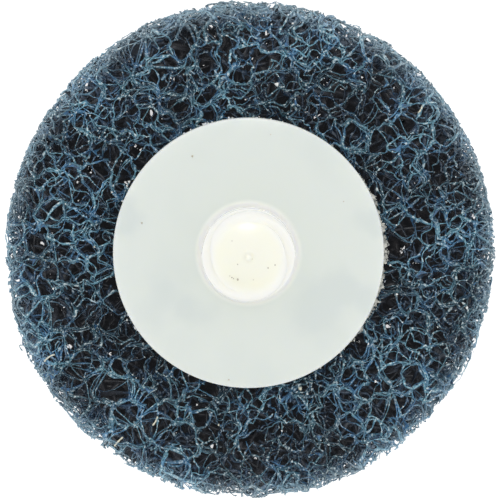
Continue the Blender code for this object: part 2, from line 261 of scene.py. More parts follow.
class ButtonSettings(bpy.types.PropertyGroup):
    """Sizes and colours of the moulded button."""

    flange_thickness: length_property("Flange thickness", "Thickness of the flange", 1.25 * MM)
    edge: length_property("Edge", "Radius on the flange's edge", 0.15 * MM)
    fillet: length_property("Fillet", "Radius at the stud's foot", 0.55 * MM)
    collar: length_property("Collar", "Plain height below the thread", 0.35 * MM)
    crest: length_property("Crest", "Radius over the thread", 4.675 * MM)
    depth: length_property("Depth", "Depth of the thread", 1.0 * MM)
    lead: length_property("Lead", "Rise of the thread in one turn", 5.0 * MM)
    starts: count_property("Starts", "Starts of the thread", 2, min=1)
    end_edge: length_property("End edge", "Inset of the end's flat from the root", 0.55 * MM)
    end_rounding: length_property("End rounding", "Height of the rounded lead-in", 1.6 * MM)
    dome: length_property("Dome", "How far the end domes up", 0.27 * MM)
    gate: length_property("Gate", "Radius of the injection gate's mark", 0.385 * MM)
    gate_height: length_property("Gate height", "Height of the gate's mark", 0.12 * MM)
    ridge: length_property("Ridge", "Height of the mould's parting ridges on the stud", 0.07 * MM)
    flange_colour: colour_property("Flange", "Colour of the thin flange over the web", (0.744, 0.787, 0.751))
    cloud_colour: colour_property("Cloud", "Colour of the flange's darker clouds", (0.677, 0.728, 0.710))
    # Partly milkier thick plastic, partly painted light that lifts the shade in the crease at the stud's foot.
    milky_foot_and_painted_light: colour_property("Foot", "Colour of the fillet round the stud", (0.95, 0.965, 0.90))
    stud_colour: colour_property("Stud", "Colour of the middle of the stud", (1.0, 0.963, 0.815))
    # Painted light: the stud is paler towards its thread, where its rounded rim gets less light.
    crest_painted_light: colour_property("Crest colour", "Colour of the stud towards its thread", (1.0, 0.987, 0.875))
    speck_colour: colour_property("Speck", "Colour of specks in the plastic", (0.36, 0.29, 0.21))
    milkiness: length_property("Milkiness", "How far light spreads in the plastic", 1.1 * MM)


class StageSettings(bpy.types.PropertyGroup):
    """Camera, light and floor."""

    tilt: number_property(
        "Tilt", "How far the camera leans off the disc's axis", math.radians(4.1), unit="ROTATION"
    )
    distance: length_property("Distance", "From the camera to the disc", 0.8)
    field: length_property("Field", "Width of the picture at the disc", 51.1 * MM)
    shift: FloatVectorProperty(
        name="Shift", description="Lens shift, across and up", default=(0.0031, -0.0062), size=2
    )
    key: number_property("Key light", "Power of the small lamp above, in watts", 0.14)
    sky: number_property("Overhead light", "Power of the large lamp overhead, in watts", 1.0)
    fill: number_property("Fill light", "Strength of the light from straight above", 0.73)
    sides: number_property("Sides", "How much stronger light from the sides is", 1.6)
    floor: colour_property("Floor", "Colour of the floor", (0.86, 0.86, 0.86))


def mesh_from_arrays(name, points, quads, triangles=None):
    """A mesh from numpy arrays of points, four-sided and three-sided faces.

    No point goes below the plane that the disc lies on.
    """
    points = np.asarray(points, np.float32).reshape(-1, 3).copy()
    points[:, 2] = np.maximum(points[:, 2], 0.0)
    mesh = bpy.data.meshes.new(name)
    triangles = np.zeros((0, 3), int) if triangles is None else triangles
    corners = np.concatenate([quads.ravel(), triangles.ravel()])
    totals = np.concatenate([np.full(len(quads), 4), np.full(len(triangles), 3)])
    starts = np.concatenate([[0], np.cumsum(totals)[:-1]])
    mesh.vertices.add(len(points))
    mesh.vertices.foreach_set("co", points.ravel())
    mesh.loops.add(len(corners))
    mesh.loops.foreach_set("vertex_index", corners.astype(np.int32))
    mesh.polygons.add(len(totals))
    mesh.polygons.foreach_set("loop_start", starts.astype(np.int32))
    mesh.polygons.foreach_set("use_smooth", np.ones(len(totals), bool))
    mesh.update(calc_edges=True)
    mesh.validate()
    return mesh


def add_point_value(mesh, name, values):
    """Store one number for each point, for the shaders to read."""
    attribute = mesh.attributes.new(name, "FLOAT", "POINT")
    attribute.data.foreach_set("value", np.asarray(values, np.float32))


def add_face_map(mesh):
    """Lay the faces out in rows, one cell each, for baking colours."""
    count = len(mesh.polygons)
    across = math.ceil(math.sqrt(count))
    totals = np.empty(count, np.int32)
    mesh.polygons.foreach_get("loop_total", totals)
    face = np.repeat(np.arange(count), totals)
    first = np.concatenate([[0], np.cumsum(totals)[:-1]])
    corner = np.arange(len(face)) - first[face]
    side = np.isin(corner, (1, 2)).astype(float)
    rise = np.isin(corner, (2, 3)).astype(float)
    u = (face % across + side) / across
    v = (face // across + 0.15 + 0.7 * rise) / across
    layer = mesh.uv_layers.new(name="OFBake")
    layer.data.foreach_set("uv", np.stack([u, v], 1).astype(np.float32).ravel())


def add_piece(mesh, material, slot, *replaced):
    """Make the mesh a piece of the disc."""
    mesh.materials.append(material)
    piece = bpy.data.objects.new(mesh.name, mesh)
    bpy.context.scene.collection.objects.link(piece)
    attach(piece, "root")
    if replaced:
        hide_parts(*replaced)
    return piece


class Nodes:
    """A short way to write a node tree."""

    def __init__(self, tree):
        self.tree = tree

    def node(self, kind, **settings):
        node = self.tree.nodes.new(kind)
        for key, value in settings.items():
            setattr(node, key, value)
        return node

    def link(self, source, target):
        self.tree.links.new(source, target)

    def position(self):
        return self.node("ShaderNodeTexCoord").outputs["Object"]

    def noise(self, vector, scale, detail=2.0, roughness=0.5):
        node = self.node("ShaderNodeTexNoise")
        node.inputs["Scale"].default_value = scale
        node.inputs["Detail"].default_value = detail
        node.inputs["Roughness"].default_value = roughness
        self.link(vector, node.inputs["Vector"])
        return node.outputs["Fac"]

    def off_axis(self, vector, middle=(0.0, 0.0)):
        """Distance from a line that stands up through the given point."""
        flat = self.node("ShaderNodeVectorMath", operation="MULTIPLY")
        flat.inputs[1].default_value = (1.0, 1.0, 0.0)
        self.link(vector, flat.inputs[0])
        distance = self.node("ShaderNodeVectorMath", operation="DISTANCE")
        distance.inputs[1].default_value = (*middle, 0.0)
        self.link(flat.outputs["Vector"], distance.inputs[0])
        return distance.outputs["Value"]

    def ranged(self, value, low, high, to_low=0.0, to_high=1.0, smooth=False):
        node = self.node("ShaderNodeMapRange", interpolation_type="SMOOTHSTEP" if smooth else "LINEAR")
        self.link(value, node.inputs["Value"])
        for key, number in zip(("From Min", "From Max", "To Min", "To Max"), (low, high, to_low, to_high)):
            node.inputs[key].default_value = number
        return node.outputs["Result"]

    def maths(self, operation, first, second):
        node = self.node("ShaderNodeMath", operation=operation)
        for socket, value in zip(node.inputs, (first, second)):
            if isinstance(value, (int, float)):
                socket.default_value = value
            else:
                self.link(value, socket)
        return node.outputs["Value"]

    def mix(self, share, first, second, blend="MIX"):
        """Mix two colours. A colour is three numbers or another node's output."""
        node = self.node("ShaderNodeMix", data_type="RGBA", blend_type=blend)
        for socket, value in ((node.inputs[0], share), (node.inputs[6], first), (node.inputs[7], second)):
            if isinstance(value, (int, float)):
                socket.default_value = value
            elif isinstance(value, bpy.types.NodeSocket):
                self.link(value, socket)
            else:
                socket.default_value = (*value, 1.0)
        return node.outputs[2]

    def choose(self, share, first, second):
        """One shader or the other, by a share from 0 to 1."""
        node = self.node("ShaderNodeMixShader")
        for socket, source in zip(node.inputs, (share, first, second)):
            self.link(source, socket)
        return node.outputs[0]

    def attribute(self, name):
        return self.node("ShaderNodeAttribute", attribute_name=name).outputs["Fac"]


class Shader(Nodes):
    """A node material with one surface."""

    def __init__(self, name):
        self.material = bpy.data.materials.new(name)
        self.material.use_nodes = True
        super().__init__(self.material.node_tree)
        self.surface = self.tree.nodes["Principled BSDF"]

    def painted_glow(self, colour):
        """Painted glow in the depths of the web: the deepest strands and films emit a little light, though no
        lamp is there.
        """
        self.surface.inputs["Emission Color"].default_value = (*colour, 1.0)
        self.link(self.ranged(self.attribute("depth"), 1.0, 2.8), self.surface.inputs["Emission Strength"])

    def finish(self, colour, **values):
        """Set the colour, and values on the surface's own sockets with _ for a space in the name."""
        self.link(colour, self.surface.inputs["Base Color"])
        for key, value in values.items():
            self.surface.inputs[key.replace("_", " ")].default_value = value
        return self.material


def mottled_material(name, noise, share, first, second, roughness):
    """A material of two colours that noise mixes. The noise is its scale and detail."""
    shader = Shader(name)
    mottled = shader.ranged(shader.noise(shader.position(), *noise), *share)
    return shader.finish(shader.mix(mottled, first, second), Roughness=roughness)


def face_dip(x, y, sag):
    """How far a face of the web lies below its highest level."""
    rolling = np.sin(x * 1150 + 0.7) * np.sin(y * 930 + 2.1) + 0.6 * np.sin(x * 2100 - y * 1700)
    return sag * (0.5 - 0.31 * rolling)


def walk_strands(rng, web):
    """Centre lines of strands laid as a sheet wider than the disc.

    Returns an array of shape (strands, steps + 1, 3).
    """
    margin = web.step * web.steps * 0.62
    sheet = WEB_RADIUS + margin
    volume = math.pi * sheet**2 * WEB_TOP / MM**3
    count = int(web.packing * volume / (web.steps * web.step / MM))
    around = rng.uniform(0, FULL_TURN, count)
    out = sheet * np.sqrt(rng.uniform(0, 1, count))
    place = np.stack([out * np.cos(around), out * np.sin(around), rng.uniform(0, WEB_TOP, count)], 1)
    heading = rng.uniform(0, FULL_TURN, count)
    climb = rng.normal(0, web.climb, count)
    curl = rng.normal(size=count)
    rise = rng.normal(size=count)
    curliness = web.crimp * rng.uniform(0.2, 1.7, count) / MM
    wave = rng.uniform(2.0, 5.0, count) * MM
    phase = rng.uniform(0, FULL_TURN, count)
    keep = math.exp(-web.step / (1.0 * MM))
    fresh = math.sqrt(1 - keep**2)
    low = web.strand_width / 2
    lines = [place.copy()]
    for index in range(web.steps):
        curl = keep * curl + fresh * rng.normal(size=count)
        rise = keep * rise + fresh * rng.normal(size=count)
        crimp = np.sin(phase + FULL_TURN * index * web.step / wave)
        heading += curliness * (curl + 0.8 * crimp) * web.step
        climb += 0.8 * curliness * rise * web.step - climb * web.step / (4.0 * MM)
        climb = np.clip(climb, -1.2, 1.2)
        level = np.cos(climb)
        place += web.step * np.stack([np.cos(heading) * level, np.sin(heading) * level, np.sin(climb)], 1)
        dip = face_dip(place[:, 0], place[:, 1], web.face_sag)
        over = place[:, 2] > WEB_TOP - low - dip
        under = place[:, 2] < low + dip
        place[:, 2] = np.clip(place[:, 2], low + dip, WEB_TOP - low - dip)
        climb = np.where(over, -0.25 * np.abs(climb), np.where(under, 0.25 * np.abs(climb), climb))
        lines.append(place.copy())
    return np.stack(lines, 1)


def smooth_lines(lines):
    """Ease kinks out of the strands, leaving their ends."""
    lines[:, 1:-1] = 0.5 * lines[:, 1:-1] + 0.25 * (lines[:, :-2] + lines[:, 2:])


def nearest_face(points, web):
    """The outward direction at the nearest face or rim, and how near it is, from 0 to 1."""
    rim = rim_limit(points, web)
    low, high = points[:, 2], WEB_TOP - points[:, 2]
    face = np.minimum(low, high)
    normal = np.zeros_like(points)
    normal[:, 2] = np.where(low < high, -1.0, 1.0)
    at_rim = rim < face
    radial = points[:, :2] - np.array(web.off_centre)
    radial /= np.linalg.norm(radial, axis=1, keepdims=True)
    normal[at_rim] = 0.0
    normal[at_rim, :2] = radial[at_rim]
    near = np.clip(1.5 - np.minimum(rim, face) / web.skin, 0.0, 1.0)
    return normal, near[:, None]


def bend(points, web):
    """Bend the web a little all through, so that no void stays round."""
    x, y, z = (points[..., axis] * FULL_TURN / MM for axis in range(3))
    along_x = np.sin(y / 2.3 + z / 3.1 + 0.3) + 0.7 * np.sin(x / 1.9 - y / 1.7 + 1.7)
    along_y = np.sin(x / 2.1 - z / 2.9 + 2.3) + 0.7 * np.sin(x / 1.6 + y / 2.0 + 0.9)
    along_x += 0.5 * np.sin(z / 1.3 + y / 1.2)
    along_y += 0.5 * np.sin(x / 1.25 - z / 1.4)
    for axis, move in enumerate((along_x, along_y, 0.6 * np.sin(x / 2.6 + y / 2.2 + 1.1))):
        points[..., axis] += web.warp * move


def open_voids(lines, web):
    """Push strands out of round voids, so that they gather along the walls between.

    Near a face a void is a pit that opens out to it: strands there are pushed
    along the face and not up across the void's mouth.
    """
    rng = np.random.default_rng(VOID_SEED)
    reach = np.abs(lines[..., :2]).max() + web.void
    origin = np.array([reach, reach, web.void])
    counts = np.ceil((2 * origin + (0, 0, WEB_TOP)) / web.void).astype(int)
    corner = np.indices(counts).transpose(1, 2, 3, 0) + 0.5
    corner[:, :, 1::2, :2] += 0.5
    centres = (corner + rng.uniform(-0.38, 0.38, corner.shape)) * web.void - origin
    slow = np.sin(centres[..., 0] * 170 + 0.6) * np.sin(centres[..., 1] * 150 + 1.1)
    radii = web.void * rng.uniform(0.24, 0.72, centres.shape[:3]) * (1 + 0.28 * slow)
    shapes = rng.uniform(0.75, 1.3, (*centres.shape[:3], 3))
    give = np.where(rng.uniform(0, 1, len(lines)) < web.stubborn, 0.2, 1.0)
    give = np.repeat(give, lines.shape[1])[:, None]
    flat = lines.reshape(-1, 3)
    for _ in range(5):
        chosen = np.flatnonzero(rim_limit(flat, web) > -web.void)
        points = flat[chosen]
        normal, near = nearest_face(points, web)
        home = np.floor((points + origin) / web.void).astype(int)
        push = np.zeros_like(points)
        for offset in np.ndindex(3, 3, 3):
            i, j, k = np.clip(home + np.array(offset) - 1, 0, counts - 1).T
            away = points - centres[i, j, k]
            radius = radii[i, j, k]
            out = (away * normal).sum(1, keepdims=True)
            away -= near * out * normal
            distance = np.linalg.norm(away * shapes[i, j, k], axis=1)
            held = (distance < radius) & (np.abs(out[:, 0]) < 1.5 * radius)
            short = radius * (distance / radius) ** 0.3 - distance
            push += away * (np.where(held, short, 0.0) / np.maximum(distance, 1e-9))[:, None]
        flat[chosen] += 0.7 * push * give[chosen]
        smooth_lines(lines)
    bend(lines, web)
    low = web.strand_width / 2
    lines[..., 2] = np.clip(lines[..., 2], low, WEB_TOP - low)


def rim_limit(points, web):
    """How far a point lies inside the disc's cut outline. Negative is outside."""
    x = points[..., 0] - web.off_centre[0]
    y = points[..., 1] - web.off_centre[1]
    z = points[..., 2]
    angle = np.arctan2(y, x)
    fray = 0.5 * np.sin(23 * angle + z * 900) + 0.4 * np.sin(61 * angle - z * 1700)
    fray += 0.4 * np.sin(97 * angle + z * 2300)
    over = np.maximum(0, np.maximum(z - (WEB_TOP - web.shoulder), web.shoulder - z))
    over = np.minimum(over, web.shoulder)
    cut = WEB_RADIUS - web.oval * np.cos(2 * angle + 0.23) - 0.6 * web.rim_fray * fray
    limit = cut - web.shoulder + np.sqrt(web.shoulder**2 - over**2)
    return limit - np.hypot(x, y)


def press_rim(lines, web, short):
    """Press strands that stand a little out of the cut back onto it, short of it by strand."""
    out = short[:, None] - rim_limit(lines, web)
    pressed = np.where((out > 0) & (out < web.rim_press), out + 0.15 * web.rim_press, 0.0)
    radius = np.hypot(lines[..., 0] - web.off_centre[0], lines[..., 1] - web.off_centre[1])
    for axis in (0, 1):
        lines[..., axis] -= (lines[..., axis] - web.off_centre[axis]) * pressed / radius


def cover(points, web):
    """How deep a point lies under the nearest open face or the rim of the disc."""
    z = points[..., 2]
    # Painted shade under the flange: the depth grows with the distance in from the flange's edge, and the
    # shaders darken strands by depth.
    under_flange = FLANGE_RADIUS - np.hypot(points[..., 0], points[..., 1])
    top = WEB_TOP - z + np.maximum(0, under_flange)
    return np.minimum(rim_limit(points, web), np.minimum(z, top))


def draw_together(lines, web):
    """Draw strands towards their nearest neighbours, as wet resin does.

    Returns the moved lines, how closely each point is bonded, from 0 to 1, and
    the pairs of points that meet.
    """
    steps = lines.shape[1]
    flat = lines.reshape(-1, 3)
    chosen = np.flatnonzero(rim_limit(flat, web) > -web.draw_reach)
    tree = kdtree.KDTree(len(chosen))
    for index in chosen:
        tree.insert(flat[index], int(index))
    tree.balance()
    moved = flat.copy()
    bond = np.zeros(len(flat))
    pairs = []
    touching = 0.5 * web.strand_width
    for index in chosen:
        strand = index // steps
        near = [
            (distance, other, place)
            for place, other, distance in tree.find_range(flat[index], web.draw_reach)
            if other // steps != strand
        ]
        if not near:
            continue
        distance, other, place = min(near)
        pull = 0.5 * max(0.0, distance - touching) * (1 - distance / web.draw_reach) ** 0.3
        moved[index] += (np.array(place) - flat[index]) / max(distance, 1e-9) * pull
        bond[index] = 1 - distance / web.draw_reach
        if index < other:
            pairs.append((index, other))
    moved = moved.reshape(lines.shape)
    smooth_lines(moved)
    return moved, bond.reshape(lines.shape[:2]), np.array(pairs)


def carry_frames(lines):
    """Two directions across each strand at each point, turned as little as can be."""
    along = np.empty_like(lines)
    along[:, 1:-1] = lines[:, 2:] - lines[:, :-2]
    along[:, 0] = lines[:, 1] - lines[:, 0]
    along[:, -1] = lines[:, -1] - lines[:, -2]
    along /= np.maximum(np.linalg.norm(along, axis=2, keepdims=True), 1e-12)
    across = np.empty_like(lines)
    start = np.cross(along[:, 0], (0.0, 0.0, 1.0))
    start += 1e-6
    across[:, 0] = start / np.linalg.norm(start, axis=1, keepdims=True)
    for index in range(1, lines.shape[1]):
        side = across[:, index - 1]
        side = side - along[:, index] * (side * along[:, index]).sum(1, keepdims=True)
        across[:, index] = side / np.maximum(np.linalg.norm(side, axis=1, keepdims=True), 1e-12)
    return across, np.cross(along, across)


def runs_inside(inside, shortest=4):
    """Stretches of each strand that lie inside the disc, as (strand, first, past)."""
    padded = np.zeros((inside.shape[0], inside.shape[1] + 2), np.int8)
    padded[:, 1:-1] = inside
    change = np.diff(padded, axis=1)
    strands, firsts = np.nonzero(change == 1)
    pasts = np.nonzero(change == -1)[1]
    keep = pasts - firsts >= shortest
    return np.stack([strands, firsts, pasts], 1)[keep]


def crinkle(lines, web, rng):
    """Throw the strands' points a little off their lines."""
    thrown = rng.normal(0.0, web.wobble, lines.shape)
    lines[:, 1:-1] += thrown[:, 1:-1] + 0.6 * (thrown[:, :-2] + thrown[:, 2:])
    lines[:, 2:-2] += 0.5 * (thrown[:, :-4] + thrown[:, 4:])


def lay_web(web):
    """Walk, open up, draw together and cut the strands. Fills LINES."""
    rng = np.random.default_rng(STRAND_SEED)
    lines = walk_strands(rng, web)
    open_voids(lines, web)
    lines, bond, pairs = draw_together(lines, web)
    crinkle(lines, web, rng)
    short = web.rim_ragged * rng.uniform(0.0, 1.0, len(lines)) ** 2
    press_rim(lines, web, short)
    depth = cover(lines, web)
    through = rng.uniform(0.0, 1.0, len(lines)) < web.core_share
    inside = (depth > 0) & (rim_limit(lines, web) > short[:, None])
    inside &= through[:, None] | (depth < web.core_depth + 0.6 * MM)
    LINES.update(lines=lines, depth=depth, bond=bond, pairs=pairs)
    LINES["runs"] = runs_inside(inside)
    LINES["frames"] = carry_frames(lines)
    LINES["widths"] = rng.uniform(0.6, 1.35, len(lines))
    LINES["tones"] = rng.uniform(0.0, 1.0, len(lines))
    LINES["turns"] = rng.uniform(0.0, FULL_TURN, len(lines))


def ring_points(centres, radii, turn, across, up):
    """Points round each centre, in the plane of its two directions across."""
    return (
        centres[..., None, :]
        + (radii * np.cos(turn))[..., None] * across[..., None, :]
        + (radii * np.sin(turn))[..., None] * up[..., None, :]
    )


def ring_quads(rings, sides):
    """Four-sided faces from each ring of points to the next one."""
    side = np.arange(sides)
    near = (rings * sides)[:, None] + side
    near_next = (rings * sides)[:, None] + (side + 1) % sides
    return np.stack([near, near + sides, near_next + sides, near_next], 2).reshape(-1, 4)


def kept_rings(strand, order, first, past, web):
    """Which rings a tube keeps: all near the surface and both ends, a few in the core."""
    is_end = (order == first) | (order == past - 1)
    shallow = LINES["depth"][strand, order] < web.core_depth
    return is_end | shallow | ((order - first) % web.core_skip == 0)


def tube_mesh(name, runs, web):
    """Three-sided knobbly tubes along the given runs, as one mesh."""
    sides = 3
    counts = runs[:, 2] - runs[:, 1]
    strand = np.repeat(runs[:, 0], counts)
    first = np.repeat(runs[:, 1], counts)
    past = np.repeat(runs[:, 2], counts)
    before = np.repeat(np.cumsum(counts) - counts, counts)
    order = np.arange(counts.sum()) - before + first
    keep = kept_rings(strand, order, first, past, web)
    strand, order, first, past = strand[keep], order[keep], first[keep], past[keep]
    rng = np.random.default_rng(len(strand))
    bonded = LINES["bond"][strand, order]
    depth = LINES["depth"][strand, order]
    knob = rng.uniform(0.0, 1.0, len(strand)) ** 3
    radius = web.strand_width / 2 * LINES["widths"][strand] * (1 + 0.4 * bonded)
    radius *= 0.66 + web.knob * knob
    radius *= 1 + (web.core_width - 1) * np.clip(depth / web.core_depth - 0.7, 0, 1)
    radius = radius[:, None] * rng.uniform(0.78, 1.25, (len(strand), sides))
    turn = FULL_TURN * np.arange(sides) / sides + LINES["turns"][strand][:, None]
    across, up = (directions[strand, order] for directions in LINES["frames"])
    ring = ring_points(LINES["lines"][strand, order], radius, turn, across, up)
    quads = ring_quads(np.flatnonzero(order != past - 1), sides)
    side = np.arange(sides)
    starts = (np.flatnonzero(order == first) * sides)[:, None] + side
    ends = (np.flatnonzero(order == past - 1) * sides)[:, None] + side[::-1]
    mesh = mesh_from_arrays(name, ring, quads, np.concatenate([starts, ends]))
    add_point_value(mesh, "tone", np.repeat(LINES["tones"][strand], sides))
    add_point_value(mesh, "depth", np.repeat(depth / MM, sides))
    add_point_value(mesh, "knob", np.repeat(knob, sides))
    add_face_map(mesh)
    return mesh


def resin_colour(shader, web, tone, dust_and_glint_share):
    """Resin: blue-green at the surface, bluer below it, brownish dark deep down. The darkening with depth is
    painted shade of the web's depths, the light specks are partly dust and partly painted glints, and the
    lighter strands at the cut rim are painted light.
    """
    where = shader.position()
    patchy = shader.noise(where, 1100.0, 2.0)
    lean = shader.maths("ADD", shader.maths("MULTIPLY", tone, 0.5), patchy)
    # Painted shade: the colour darkens with depth below the open faces and the rim, from light through middle
    # and dark to core.
    depth = shader.maths("ADD", shader.attribute("depth"), shader.ranged(lean, 0.35, 1.15, 0.75, -0.6))
    colour = shader.mix(shader.ranged(depth, 0.2, 1.5), web.light, web.middle)
    tint = shader.ranged(shader.noise(where, 620.0, 2.0), 0.50, 0.64, 0.0, 0.62)
    colour = shader.mix(tint, colour, web.film)
    colour = shader.mix(shader.ranged(depth, 1.3, 2.8), colour, web.dark)
    colour = shader.mix(shader.ranged(shader.attribute("depth"), 2.6, 5.2), colour, web.core)
    slow = shader.ranged(shader.noise(where, 210.0, 1.0), 0.35, 0.65, 0.50, 1.42)
    colour = shader.mix(1.0, colour, slow, "MULTIPLY")
    fine = shader.noise(where, 4600.0, 1.0)
    shade = shader.ranged(fine, 0.32, 0.64, 0.66, 1.26)
    colour = shader.mix(1.0, colour, shade, "MULTIPLY")
    # Specks of dust and painted glints where the fine noise peaks. Resin knobs get more of them, painted
    # brighter as if they caught the light.
    glint = shader.maths("ADD", fine, shader.maths("MULTIPLY", shader.attribute("knob"), 0.12))
    shown = shader.ranged(depth, 0.0, 2.4, dust_and_glint_share, 0.0)
    speck = shader.maths("MULTIPLY", shader.ranged(glint, 0.61, 0.71), shown)
    out = shader.off_axis(where, web.off_centre)
    # Painted light: strands near the cut rim are mixed towards the edge colour and made brighter, as if lit
    # from the sides.
    painted_rim_light = shader.ranged(out, WEB_RADIUS - 1.9 * MM, WEB_RADIUS - 0.3 * MM)
    colour = shader.mix(shader.maths("MULTIPLY", painted_rim_light, 0.46), colour, web.edge)
    colour = shader.mix(1.0, colour, shader.ranged(painted_rim_light, 0.0, 1.0, 1.0, 1.36), "MULTIPLY")
    return shader.mix(speck, colour, web.dust_and_glint)


def strand_material(web):
    """Fibre in resin, thin and dusty at the surface, thick and glossy below. Its colour darkens with depth,
    painted shade of the web's depths, and its light specks are partly painted glints.
    """
    shader = Shader("resin_coated_fibre")
    colour = resin_colour(shader, web, shader.attribute("tone"), 0.8)
    shader.painted_glow(web.painted_glow)
    return shader.finish(colour, Roughness=0.36)


def film_material(web):
    """Thin blue resin film, glossy."""
    shader = Shader("resin_film")
    mottled = shader.noise(shader.position(), 2600.0, 3.0)
    near = shader.mix(shader.ranged(mottled, 0.36, 0.54), web.middle, web.film)
    near = shader.mix(shader.ranged(mottled, 0.54, 0.62), near, web.light)
    # Specks of dust and painted glints on the films.
    near = shader.mix(shader.ranged(mottled, 0.60, 0.70, 0.0, 0.8), near, web.dust_and_glint)
    # Painted shade: the films darken with depth, as the strands do.
    deep = shader.ranged(shader.attribute("depth"), 1.2, 2.6)
    colour = shader.mix(deep, near, web.dark)
    colour = shader.mix(shader.ranged(shader.attribute("depth"), 2.6, 5.2), colour, web.core)
    shader.painted_glow(web.painted_glow)
    return shader.finish(colour, Roughness=0.45)


def grain_material(web):
    """Abrasive grain: blue-green like the strands, with their painted shade of depth and painted glints,
    glassy, some grains pale.
    """
    shader = Shader("abrasive_grain")
    tone = shader.attribute("tone")
    ground = resin_colour(shader, web, tone, 0.5)
    colour = shader.mix(shader.ranged(tone, 0.84, 0.9), ground, web.dust_and_glint)
    return shader.finish(colour, Roughness=0.14, IOR=2.4)


def grain_mesh(web):
    """Small four-sided grains stuck on the strands near the surface."""
    rng = np.random.default_rng(GRAIN_SEED)
    depth = LINES["depth"]
    strands, orders = np.nonzero((depth > 0.1 * MM) & (depth < web.grain_depth))
    chosen = rng.choice(len(strands), min(web.grains, len(strands)), replace=False)
    strand, order = strands[chosen], orders[chosen]
    count = len(chosen)
    across, up = (directions[strand, order] for directions in LINES["frames"])
    angle = rng.uniform(0, FULL_TURN, count)[:, None]
    outward = np.cos(angle) * across + np.sin(angle) * up
    centre = LINES["lines"][strand, order] + outward * web.strand_width * 0.38
    corners = np.array([[1, 1, 1], [1, -1, -1], [-1, 1, -1], [-1, -1, 1]]) / math.sqrt(3)
    shape = corners * rng.uniform(0.75, 1.3, (count, 4, 1)) * web.grain_size
    shape *= rng.uniform(0.6, 1.5, (count, 1, 1))
    turn = np.linalg.qr(rng.normal(size=(count, 3, 3)))[0]
    turn[:, :, 0] *= np.sign(np.linalg.det(turn))[:, None]
    points = centre[:, None] + np.einsum("nij,nkj->nki", turn, shape)
    faces = np.array([[0, 1, 2], [0, 3, 1], [0, 2, 3], [1, 3, 2]])
    triangles = (faces + 4 * np.arange(count)[:, None, None]).reshape(-1, 3)
    mesh = mesh_from_arrays("abrasive_grains", points, np.zeros((0, 4), int), triangles)
    mesh.polygons.foreach_set("use_smooth", np.zeros(len(triangles), bool))
    add_point_value(mesh, "tone", np.repeat(rng.uniform(0, 1, count), 4))
    add_point_value(mesh, "depth", np.repeat(depth[strand, order] / MM, 4))
    add_face_map(mesh)
    return mesh


def film_outlines(web, rng, count, wanted, reaches):
    """Four-cornered outlines of films between strands at those meeting points that are wanted."""
    lines, depth, pairs = LINES["lines"], LINES["depth"], LINES["pairs"][wanted]
    steps = lines.shape[1]
    a, i = np.divmod(pairs[:, 0], steps)
    b, j = np.divmod(pairs[:, 1], steps)
    reach_a = rng.integers(*reaches, len(pairs)) * rng.choice([-1, 1], len(pairs))
    reach_b = rng.integers(*reaches, len(pairs)) * rng.choice([-1, 1], len(pairs))
    fits = (i + reach_a >= 0) & (i + reach_a < steps) & (j + reach_b >= 0) & (j + reach_b < steps)
    a, i, b, j, reach_a, reach_b = (x[fits] for x in (a, i, b, j, reach_a, reach_b))
    corner = (lines[a, i] + lines[b, j]) / 2
    tip_a, tip_b = lines[a, i + reach_a], lines[b, j + reach_b]
    arm_a, arm_b = tip_a - corner, tip_b - corner
    cosine = (arm_a * arm_b).sum(1) / (np.linalg.norm(arm_a, axis=1) * np.linalg.norm(arm_b, axis=1))
    inner = (depth[a, i + reach_a] > 0) & (depth[b, j + reach_b] > 0)
    good = np.flatnonzero((cosine > -0.5) & (cosine < 0.93) & inner)
    patches = corner[rng.choice(good, web.patches)]
    gap = np.min([np.linalg.norm(corner[good] - patch, axis=1) for patch in patches], axis=0)
    odds = np.exp(-((gap / (0.7 * MM)) ** 2)) + 0.04
    good = rng.choice(good, min(count, len(good)), replace=False, p=odds / odds.sum())
    corner, tip_a, tip_b = corner[good], tip_a[good], tip_b[good]
    middle = (tip_a + tip_b) / 2
    middle += (corner - middle) * rng.uniform(0.15, 0.5, (len(good), 1))
    return np.stack([corner, tip_a, middle, tip_b], 1), depth[a, i][good]


def film_mesh(web):
    """Thin films that fill the corners between crossing strands, larger ones deep down. The deep and rim films
    are partly real resin films, partly dark sheets that paint the shade in the web's depths.
    """
    rng = np.random.default_rng(FILM_SEED)
    first = LINES["pairs"][:, 0]
    place, depth = LINES["lines"].reshape(-1, 3)[first], LINES["depth"].ravel()[first]
    deep = (depth > web.film_depth) & (depth < 2.5 * web.film_depth)
    by_rim = (rim_limit(place, web) < RIM_FILM_REACH) & (depth > RIM_FILM_DEPTH)
    by_rim &= (place[:, 2] > RIM_FILM_LOW) & (place[:, 2] < WEB_TOP - RIM_FILM_HIGH)
    groups = (
        film_outlines(web, rng, web.films, (depth > 0) & (depth < 0.7 * web.film_depth), (1, 4)),
        film_outlines(web, rng, web.deep_films, deep, (5, 9)),
        film_outlines(web, rng, web.rim_films, by_rim, (4, 9)),
    )
    outline = np.concatenate([group[0] for group in groups])
    depth = np.concatenate([groups[0][1], groups[1][1], np.maximum(groups[2][1], RIM_FILM_PAINTED_SHADE)])
    normal = np.cross(outline[:, 1] - outline[:, 0], outline[:, 3] - outline[:, 0])
    normal /= np.linalg.norm(normal, axis=1, keepdims=True)
    thickness = web.strand_width * 0.11
    points = np.concatenate([outline + normal[:, None] * thickness, outline - normal[:, None] * thickness], 1)
    faces = np.array([[0, 1, 2, 3], [7, 6, 5, 4], [0, 4, 5, 1], [1, 5, 6, 2], [2, 6, 7, 3], [3, 7, 4, 0]])
    quads = (faces[None] + 8 * np.arange(len(outline))[:, None, None]).reshape(-1, 4)
    mesh = mesh_from_arrays("resin_films", points, quads)
    mesh.polygons.foreach_set("use_smooth", np.zeros(len(quads), bool))
    add_point_value(mesh, "depth", np.repeat(depth / MM, 8))
    add_face_map(mesh)
    return mesh


